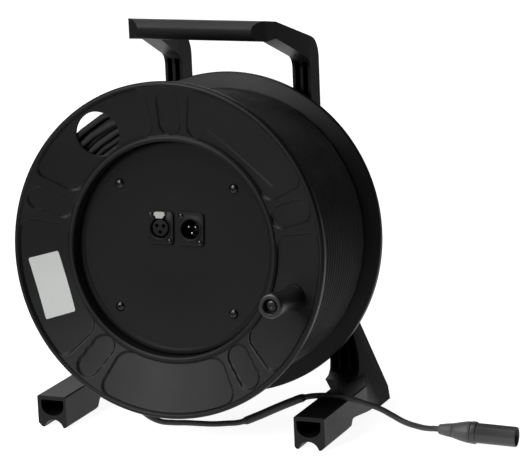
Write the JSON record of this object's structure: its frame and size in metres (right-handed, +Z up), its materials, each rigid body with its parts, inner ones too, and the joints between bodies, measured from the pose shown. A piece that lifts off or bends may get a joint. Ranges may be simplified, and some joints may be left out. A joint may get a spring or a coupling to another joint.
{
  "type": "microphone cable drum",
  "caption": "Microphone cable wound on a hand-cranked drum with two hub sockets, on a splayed carrying frame, its free end in a round plug.",
  "frame": {"origin": "on the floor under the middle of the rigid object's box, without the free cable end and its plug", "axes": "+Z up, -Y towards the front of the drum with its sockets and crank knob, +X to the right seen from the front"},
  "size_m": [0.467, 0.2604, 0.3824],
  "materials": {
    "black_plastic": "satin moulded",
    "connector_plate": "fine satin",
    "socket_plastic": "satin",
    "contact_insert": "matt",
    "contact_metal": "silver plated",
    "release_tab": "pale satin",
    "black_screw": "black",
    "zinc_steel": "zinc plated",
    "bush_plastic": "natural",
    "cable_jacket": "satin jacket",
    "shrink_sleeve": "satin",
    "plug_boot": "matt"
  },
  "bodies": {
    "frame": {"left_side_frame": "black_plastic", "right_side_frame": "black_plastic", "handle_bar": "black_plastic", "hub_carrier": "black_plastic", "frame_screw_1": "black_screw", "frame_screw_2": "black_screw", "frame_screw_3": "black_screw", "frame_screw_4": "black_screw", "handle_screw_left": "black_screw", "handle_screw_right": "black_screw", "axle": "zinc_steel", "axle_nut": "zinc_steel", "head_washer": "zinc_steel", "thrust_washer": "zinc_steel", "nut_washer": "zinc_steel", "cable_tail": "cable_jacket", "cable_sleeve": "shrink_sleeve", "plug_boot": "plug_boot", "plug_collar": "black_plastic", "plug_shell": "black_plastic", "plug_insert": "contact_insert", "plug_pin_1": "contact_metal", "plug_pin_2": "contact_metal", "plug_pin_3": "contact_metal"},
    "drum": {"front_flange": "black_plastic", "rear_flange": "black_plastic", "connector_plate": "connector_plate", "female_socket": "socket_plastic", "male_socket": "socket_plastic", "female_insert": "contact_insert", "male_insert": "contact_insert", "socket_pin_1": "contact_metal", "socket_pin_2": "contact_metal", "socket_pin_3": "contact_metal", "plate_screw_1": "black_screw", "plate_screw_2": "black_screw", "plate_screw_3": "black_screw", "plate_screw_4": "black_screw", "socket_screw_1": "black_screw", "socket_screw_2": "black_screw", "socket_screw_3": "black_screw", "socket_screw_4": "black_screw", "knob_pin": "black_screw", "tie_screw_1": "zinc_steel", "tie_screw_2": "zinc_steel", "tie_screw_3": "zinc_steel", "front_bush": "bush_plastic", "rear_bush": "bush_plastic", "winding_outer": "cable_jacket", "winding_core": "cable_jacket"},
    "crank_knob": {"knob_grip": "black_plastic"},
    "release_tab": {"release_tab": "release_tab"}
  },
  "joints": [
    {"name": "drum_spin", "type": "hinge", "parent": "frame", "child": "drum", "pos_m": [0, -0.0758, 0.182], "axis": [0, 0.9945, -0.1045], "continuous": true},
    {"name": "knob_spin", "type": "hinge", "parent": "drum", "child": "crank_knob", "pos_m": [0.12496, -0.07955, 0.14636], "axis": [0, 0.9945, -0.1045], "continuous": true},
    {"name": "release_tab_push", "type": "slide", "parent": "drum", "child": "release_tab", "axis": [0, 0.9945, -0.1045], "range_m": [0, 0.0015], "stiffness_N_per_m": 300}
  ]
}
